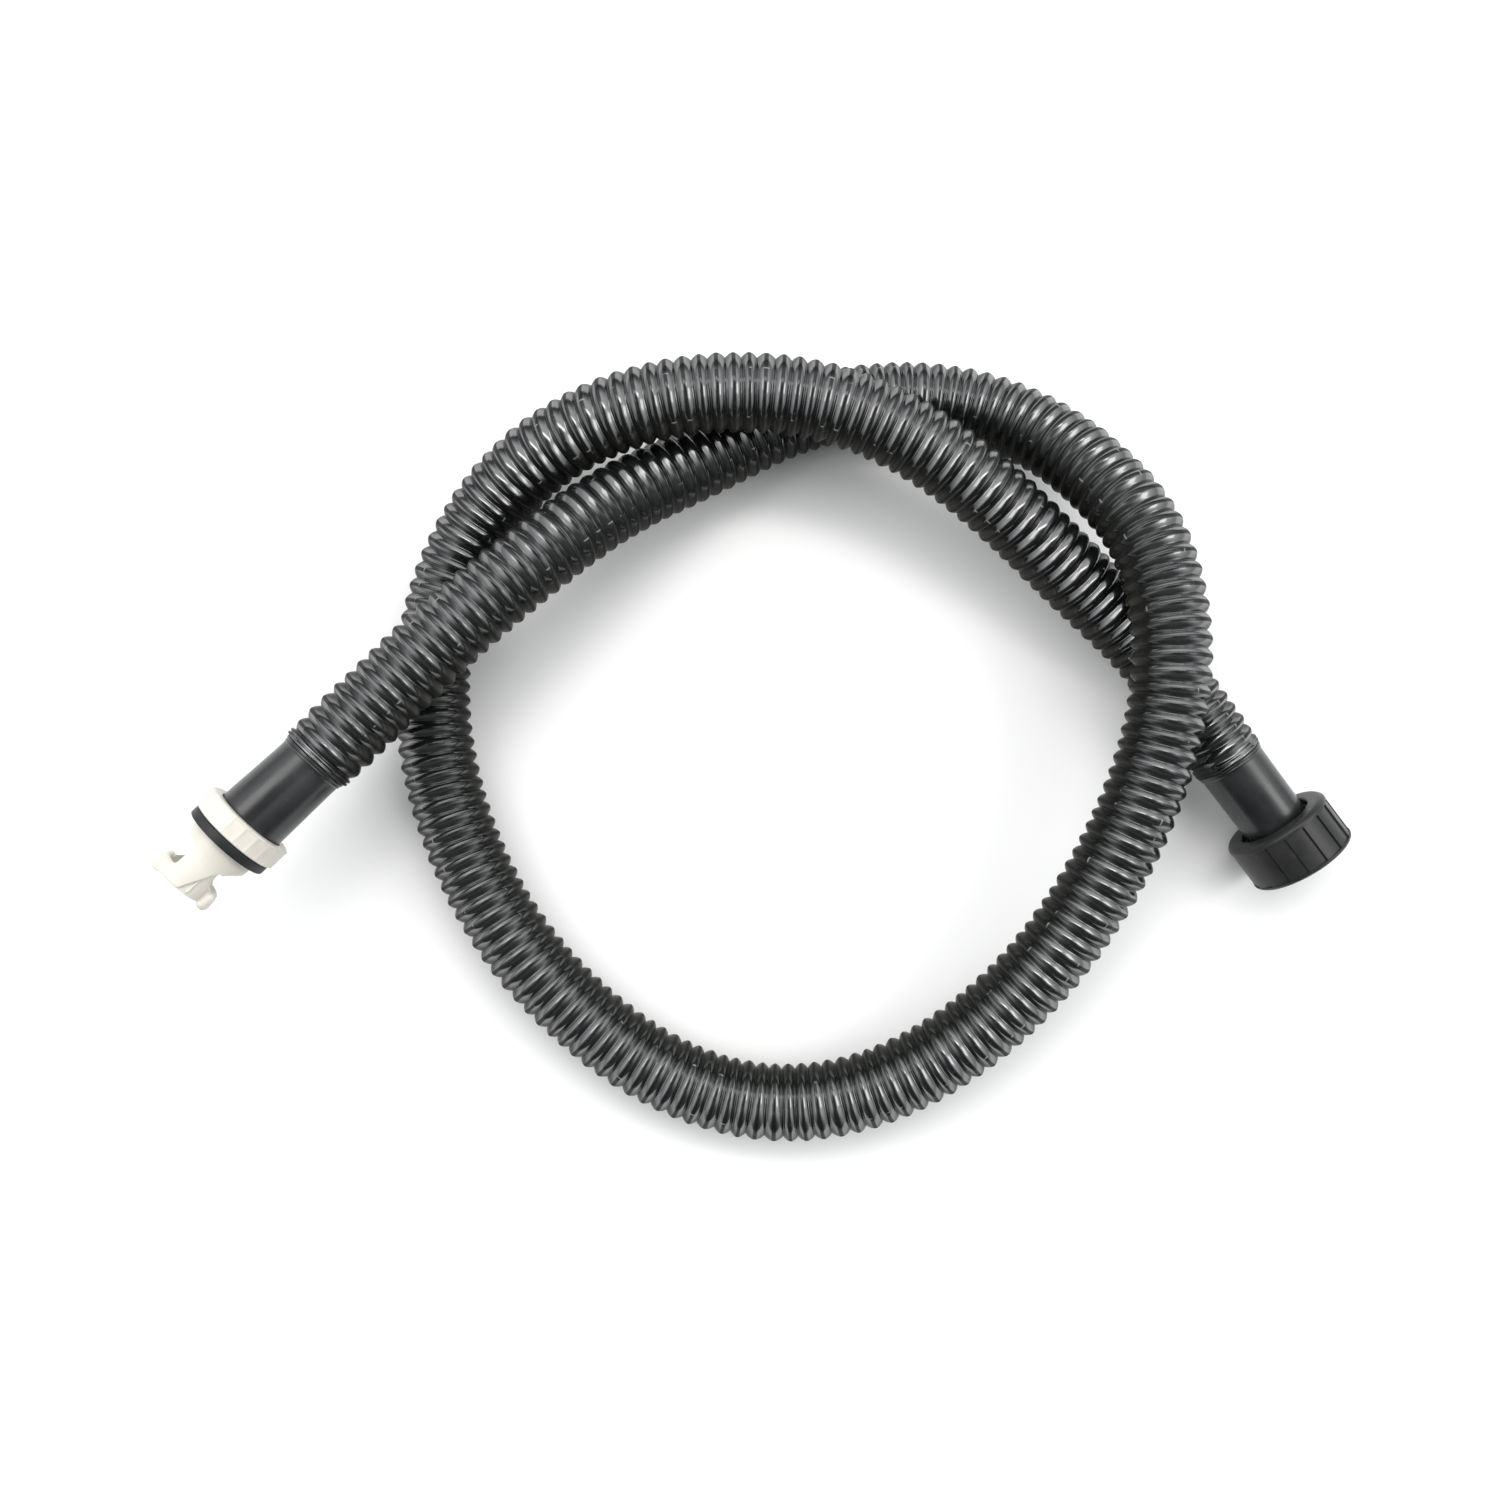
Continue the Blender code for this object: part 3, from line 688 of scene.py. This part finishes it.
def make_valve_nut(material):
    """The slim cream nut: 20 flat panels between fine ribs, a rim at its back and a thread."""
    back, front = 43.7, 55.1
    outer, hole, minor = 24.3, 18.8, 21.2
    major = minor + THREAD_HEIGHT
    panel_start, panel_end, edge = back + 0.9, front - 0.7, 0.3
    thread_start, thread_end = back + 3.9, front + 1.2
    grips, depth = 20, 0.12
    rib, rib_depth = 0.05, 0.03  # half a rib's width as a share of a panel, and how far below the rim
    step = 2 * pi / grips

    def radius_at(radius, height, angle):
        if radius == outer and panel_start < height < panel_end:
            share = angle % step / step
            if rib < share < 1 - rib:
                return (radius - depth) * cos((0.5 - rib) * step) / cos((share - 0.5) * step)
            return radius - rib_depth
        if radius == minor:
            ridge = thread_ridge(height, angle, thread_start, thread_end, pi)
            return radius + THREAD_HEIGHT * (1 - ridge)
        return radius

    outline = [
        (hole, back, 0.4),
        (outer - 1.1, back, 0.5),
        (outer, back + 0.7, 0.5),
        (outer, panel_start),
        (outer, panel_start + edge),
        (outer, (panel_start + panel_end) / 2),
        (outer, panel_end - edge),
        (outer, panel_end),
        (outer - 0.1, front - 0.5, 0.3),
        (outer - 1.0, front, 0.5),
        (major, front, 0.2),
    ]
    outline += [(minor, height) for height in reversed(thread_levels(thread_start, front - 0.3))]
    outline += [(major, back + 2.8, 0.3), (major, back + 2.4, 0.2), (hole, back + 2.4, 0.3)]
    shares = (0, 0.02, 0.05, 0.08, 0.3, 0.5, 0.7, 0.92, 0.95, 0.98)
    angles = [step * (i + share) for i in range(grips) for share in shares]
    mesh = mesh_from("valve_slim_nut", swept(rounded(outline), angles, radius_at), material)
    add_piece("valve_slim_nut", mesh, VALVE_FRAME, "valve_nut", "valve_union_nut")


def block(low, high):
    """A box between two corners."""
    bm = bmesh.new()
    bmesh.ops.create_cube(bm, size=1)
    bmesh.ops.scale(bm, vec=[b - a for a, b in zip(low, high)], verts=bm.verts)
    bmesh.ops.translate(bm, vec=[(a + b) / 2 for a, b in zip(low, high)], verts=bm.verts)
    return bm


def helper(name, bm):
    """A helper object for a Boolean, in millimetres. It is removed once it has been used."""
    bmesh.ops.recalc_face_normals(bm, faces=bm.faces)
    mesh = bpy.data.meshes.new(name)
    bm.to_mesh(mesh)
    bm.free()
    obj = bpy.data.objects.new(name, mesh)
    bpy.context.collection.objects.link(obj)
    return obj


def turned_half(side):
    """The adaptor's two halves are alike, half a turn apart."""
    return Matrix.Rotation(0 if side > 0 else pi, 4, "Z")


def notch_block():
    """The notch in a shell's own claw side: a block across it with a round inner end."""
    floor, start, end = 5.6, GASKET_FACE + 7.0, GASKET_FACE + 22.4
    bm = block((floor, -25, start), (30, 0.5, end))
    inner = [e for e in bm.edges if all(v.co.x < floor + 1 for v in e.verts)]
    across = [e for e in inner if abs(e.verts[0].co.y - e.verts[1].co.y) > 1]
    bmesh.ops.bevel(bm, geom=across, offset=3.8, segments=8, profile=0.5, affect="EDGES")
    return bm


def always(value):
    """A function that gives the same value everywhere."""
    return lambda *_: value


def shell_sector(low, high, bottom, top, inner, outer):
    """A sector of a thick tube. Its angles in degrees and its two radii are functions."""
    bm = bmesh.new()
    across, along = 28, 32
    grid = {}
    for j in range(along + 1):
        height = bottom + (top - bottom) * j / along
        for i in range(across + 1):
            degree = low(height) + (high(height) - low(height)) * i / across
            way = (cos(radians(degree)), sin(radians(degree)))
            for layer, radius in enumerate((inner(degree, height), outer(degree, height))):
                grid[i, j, layer] = bm.verts.new((radius * way[0], radius * way[1], height))
    for i in range(across):
        for j in range(along):
            for layer in (0, 1):
                bm.faces.new([grid[i + a, j + b, layer] for a, b in ((0, 0), (1, 0), (1, 1), (0, 1))])
    for j in range(along):
        for i in (0, across):
            bm.faces.new([grid[i, j, 0], grid[i, j, 1], grid[i, j + 1, 1], grid[i, j + 1, 0]])
    for i in range(across):
        for j in (0, along):
            bm.faces.new([grid[i, j, 0], grid[i, j, 1], grid[i + 1, j, 1], grid[i + 1, j, 0]])
    return bm


def claw():
    """A claw: the shell swells outwards and reaches further as it comes round to its free edge."""
    start, full = GASKET_FACE + 21.6, 10.0
    root_degree, free_degree, swell_over = -68, 4, 45

    def swell_at(degree):
        swell = min(1, max(0, (degree - root_degree) / swell_over))
        return swell * swell * (3 - 2 * swell)

    def outer(degree, height):
        share = (height - start) / full
        corner = min(1, share * full / 2.6) ** 0.5
        tip = min(1, (1 - share) * full / 2.0) ** 0.5
        return 15.2 + (0.9 + (0.5 + 1.1 * share) * swell_at(degree)) * corner * (0.3 + 0.7 * tip)

    bm = shell_sector(always(root_degree), always(free_degree), start, start + full, always(14.0), outer)
    for vert in bm.verts:
        swell = swell_at(degrees(atan2(vert.co.y, vert.co.x)))
        vert.co.z = start + (vert.co.z - start) * (0.74 + 0.26 * swell)
    return bm


def capsule(start, end, radius):
    """A round bar with round ends between two points."""
    start, end = Vector(start), Vector(end)
    bm = bmesh.new()
    bmesh.ops.create_uvsphere(bm, u_segments=24, v_segments=16, radius=radius)
    along = end - start
    for v in bm.verts:
        if v.co.z > 0:
            v.co.z += along.length
    turn = along.to_track_quat("Z", "Y").to_matrix().to_4x4()
    bmesh.ops.transform(bm, matrix=Matrix.Translation(start) @ turn, verts=bm.verts)
    return bm


def combine(target, other, operation):
    """Cuts another object from the target, or adds it, with a Boolean modifier."""
    modifier = target.modifiers.new(other.name, "BOOLEAN")
    modifier.object = other
    modifier.operation = operation
    modifier.solver = "EXACT"


def split_degree(height):
    """Where the upper shell's slanting free edge is: 11 mm off the axis, then 7 mm nearer."""
    start, run = 12.9, 15.1
    across = 11.0 - (height - GASKET_FACE - start) * 7 / run
    return degrees(acos(min(1, max(-1, across / BARREL_R))))


def recess_radius(degree, height):
    """The recess between the slanting edge and the roll is deepest beside the roll."""
    return RECESS_R - 1.3 * min(1, max(0, (45 - degree) / 25))


def window_degree(height):
    """The opening's upper edge at this height, read off WINDOW_EDGE."""
    reaches, edge = zip(*WINDOW_EDGE)
    return float(np.interp(height - GASKET_FACE, reaches, edge))


def adaptor_blank():
    """The adaptor before its two halves are cut: a threaded flange, the neck and the barrel."""
    thread_start, thread_end = 50.7, 55.1
    root, neck, barrel, base = 20.6, 17.7, BARREL_R, GASKET_FACE

    def radius_at(radius, height, angle):
        if radius == root:
            return radius + THREAD_HEIGHT * thread_ridge(height, angle, thread_start - 2, base, 0)
        return radius

    outline = [(ADAPTOR_BORE_R, thread_start)]
    outline += [(root, height) for height in thread_levels(thread_start, thread_end)]
    outline += [
        (neck, thread_end),
        (neck, base + 3.5),
        (neck - 0.3, base + 5.5),
        (neck - 0.9, base + 8.5),
        (barrel, base + 12),
        (barrel - 0.1, base + 20),
        (barrel - 0.3, base + 28.0),
        (barrel - 0.9, base + 28.9),
        (ADAPTOR_BORE_R, base + 29.0),
    ]
    return swept(outline, radius_at=radius_at)


def half_details():
    """What is cut from one half of the barrel and added to it, as (name, shape, operation)."""
    base = GASKET_FACE
    low, past_skin, past_end = always(-6), always(26), base + 33
    slit_wide = 2.2

    def slit_edge(height):
        return split_degree(height) - slit_wide

    window = shell_sector(low, window_degree, base + 6.9, base + 21.5, always(8), past_skin)
    recess = shell_sector(low, split_degree, base + 11, past_end, recess_radius, past_skin)
    slit = shell_sector(slit_edge, split_degree, base + 14, past_end, always(13.6), always(20))
    rib = shell_sector(always(57.2), always(60.4), base + 18.5, base + 27.5, always(13.5), always(15.7))
    return (
        ("notch", notch_block(), "DIFFERENCE"),
        ("window", window, "DIFFERENCE"),
        ("recess", recess, "DIFFERENCE"),
        ("slit", slit, "DIFFERENCE"),
        ("rib", rib, "UNION"),
        ("claw", claw(), "UNION"),
        ("roll", capsule((15.1, 2.2, base + 24.0), (14.7, 2.2, base + 28.4), 2.9), "UNION"),
    )


def soften(obj):
    """Rounds every corner a little, as moulding does: a fine voxel skin, smoothed and thinned."""
    remesh = obj.modifiers.new("remesh", "REMESH")
    remesh.mode = "VOXEL"
    remesh.voxel_size = VOXEL
    smooth = obj.modifiers.new("smooth", "SMOOTH")
    smooth.factor, smooth.iterations = 0.5, 7
    decimate = obj.modifiers.new("decimate", "DECIMATE")
    decimate.ratio = 0.35


def make_adaptor(material):
    """The bayonet adaptor: thread, neck, and a barrel of two half shells that end in claws."""
    adaptor = helper("spa_bayonet", adaptor_blank())
    helpers = []
    for side in (1, -1):
        for name, bm, operation in half_details():
            bmesh.ops.transform(bm, matrix=turned_half(side), verts=bm.verts)
            helpers.append(helper(name, bm))
            combine(adaptor, helpers[-1], operation)
    soften(adaptor)
    graph = bpy.context.evaluated_depsgraph_get()
    mesh = bpy.data.meshes.new_from_object(adaptor.evaluated_get(graph))
    for obj in [adaptor] + helpers:
        bpy.data.objects.remove(obj)
    mesh.transform(Matrix.Scale(MM, 4))
    mesh.shade_smooth()
    mesh.materials.clear()
    mesh.materials.append(material)
    add_piece("spa_bayonet_adaptor", mesh, VALVE_FRAME, "adaptor", "bayonet_adaptor")


def make_valve_end(cuff, cream, rubber):
    """The valve end, its rings measured as at the pump end."""
    place = VALVE_FRAME
    make_cuff("valve_end_cuff", 46.1, 17.6, 18.3, place, "valve_cuff", cuff)
    make_tailpiece("valve_end_spigot", 20.5, 46.4, 48.7, place, "valve_tailpiece", cream)
    seal = (14.5, 20.2, 49.0, 50.4, 0.4)
    make_ring("valve_end_seal", *seal, place, "root", "valve_face_seal", "rubber", rubber)
    gasket = (18.0, 22.9, 55.4, GASKET_FACE, 0.7)
    make_ring("spa_gasket", *gasket, place, "adaptor", "valve_gasket", "rubber", rubber)
    make_valve_nut(cream)
    make_adaptor(cream)


# ---------------------------------------------------------------- studio


def make_floor():
    bm = bmesh.new()
    bmesh.ops.create_grid(bm, x_segments=1, y_segments=1, size=FLOOR_REACH)
    mesh = bpy.data.meshes.new("floor")
    bm.to_mesh(mesh)
    bm.free()
    shader = Shader("floor_paint", 0.9, 0.2)
    own = shader.own_coordinates()
    shader.set("Base Color", shader.mix(shader.noise(own, 6, 3), (0.93, 0.93, 0.925), (0.95, 0.95, 0.945)))
    mesh.materials.append(shader.material)
    floor = bpy.data.objects.new("floor", mesh)
    floor.location.z = FLOOR_Z
    bpy.context.collection.objects.link(floor)


def make_sky():
    """A broad band of light from side to side, leaning back, with a dim patch straight above."""
    world = bpy.data.worlds.new("studio")
    bpy.context.scene.world = world
    world.use_nodes = True
    tree = world.node_tree
    background = tree.nodes["Background"]
    way = tree.nodes.new("ShaderNodeTexCoord").outputs["Generated"]

    def math(kind, operation, *values):
        node = tree.nodes.new(kind)
        node.operation = operation
        for index, value in enumerate(values):
            if isinstance(value, bpy.types.NodeSocket):
                tree.links.new(value, node.inputs[index])
            else:
                node.inputs[index].default_value = value
        return node.outputs["Value"]

    def fade(value, low, high, to_low, to_high):
        node = tree.nodes.new("ShaderNodeMapRange")
        node.interpolation_type = "SMOOTHSTEP"
        tree.links.new(value, node.inputs[0])
        for index, setting in enumerate((low, high, to_low, to_high), start=1):
            node.inputs[index].default_value = setting
        return node.outputs[0]

    def along(axis):
        return math("ShaderNodeVectorMath", "DOT_PRODUCT", way, axis)

    overhead = fade(along((0, 0, 1)), 0.88, 0.97, 1, 0.2)
    off_band = math("ShaderNodeMath", "ABSOLUTE", along((0, cos(BAND_LEAN), -sin(BAND_LEAN))))
    band = fade(off_band, 0.5, 0.88, SKY_STRENGTH, 0.1 * SKY_STRENGTH)
    higher = fade(along((0, 0, 1)), 0.1, 0.7, 0.8, 1.75)
    strength = math("ShaderNodeMath", "MULTIPLY", math("ShaderNodeMath", "MULTIPLY", band, overhead), higher)
    background.inputs["Color"].default_value = (0.97, 0.985, 1, 1)
    tree.links.new(strength, background.inputs["Strength"])


def add_softbox(name, at, size, energy):
    """An area light, its energy in watts, with its face towards the middle of the floor."""
    light = bpy.data.lights.new(name, "AREA")
    light.shape = "RECTANGLE"
    light.size, light.size_y = size
    light.energy = energy
    light.color = (1, 0.985, 0.96)
    softbox = bpy.data.objects.new(name, light)
    bpy.context.collection.objects.link(softbox)
    at = Vector(at)
    softbox.matrix_world = Matrix.Translation(at) @ at.to_track_quat("Z", "Y").to_matrix().to_4x4()


def make_studio():
    """A pale floor under a soft sky, a long soft light behind and one out beyond each fitting."""
    make_floor()
    make_sky()
    add_softbox("back_light", (0.1, 1.0, 1.9), (1.7, 0.4), 12)
    add_softbox("pump_light", (1.26, 0.19, 1.27), (0.8, 0.6), 4.5)
    add_softbox("valve_light", (-0.85, 0.48, 1.49), (0.9, 0.8), 5.5)
    bpy.context.scene.view_settings.view_transform = "Standard"


def fitting_materials():
    """The cuffs' soft plastic, the black and the cream moulded plastic, and the rubber."""
    cuff = plastic(
        "cuff_plastic",
        specular=0.65,
        roughness=0.27,
        tones=((0.008, 0.009, 0.0095), (0.014, 0.0155, 0.016)),
        grain=(900, 0.03 * MM),
        scuffs=((0.13, 0.13, 0.125), 0.35),
    )
    black = plastic(
        "moulded_black",
        specular=0.38,
        roughness=0.38,
        tones=((0.012, 0.013, 0.012), (0.019, 0.02, 0.019)),
        grain=(2200, 0.03 * MM),
        scuffs=((0.12, 0.12, 0.11), 0.3),
    )
    cream = plastic(
        "moulded_cream",
        specular=0.5,
        roughness=0.38,
        tones=((0.68, 0.645, 0.575), (0.74, 0.71, 0.64)),
        grain=(700, 0.02 * MM),
        scuffs=((0.66, 0.6, 0.5), 0.25),
    )
    rubber = plastic(
        "gasket_rubber",
        specular=0.38,
        roughness=0.5,
        tones=((0.01, 0.011, 0.012), (0.018, 0.02, 0.021)),
        grain=(1600, 0.06 * MM),
        scuffs=((0.12, 0.125, 0.12), 0.4),
    )
    return cuff, black, cream, rubber


def main():
    add_camera()
    hose, path, length = make_hose(hose_material())
    cuff, black, cream, rubber = fitting_materials()
    make_pump_end(cuff, black, rubber)
    make_valve_end(cuff, cream, rubber)
    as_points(path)
    make_studio()


main()
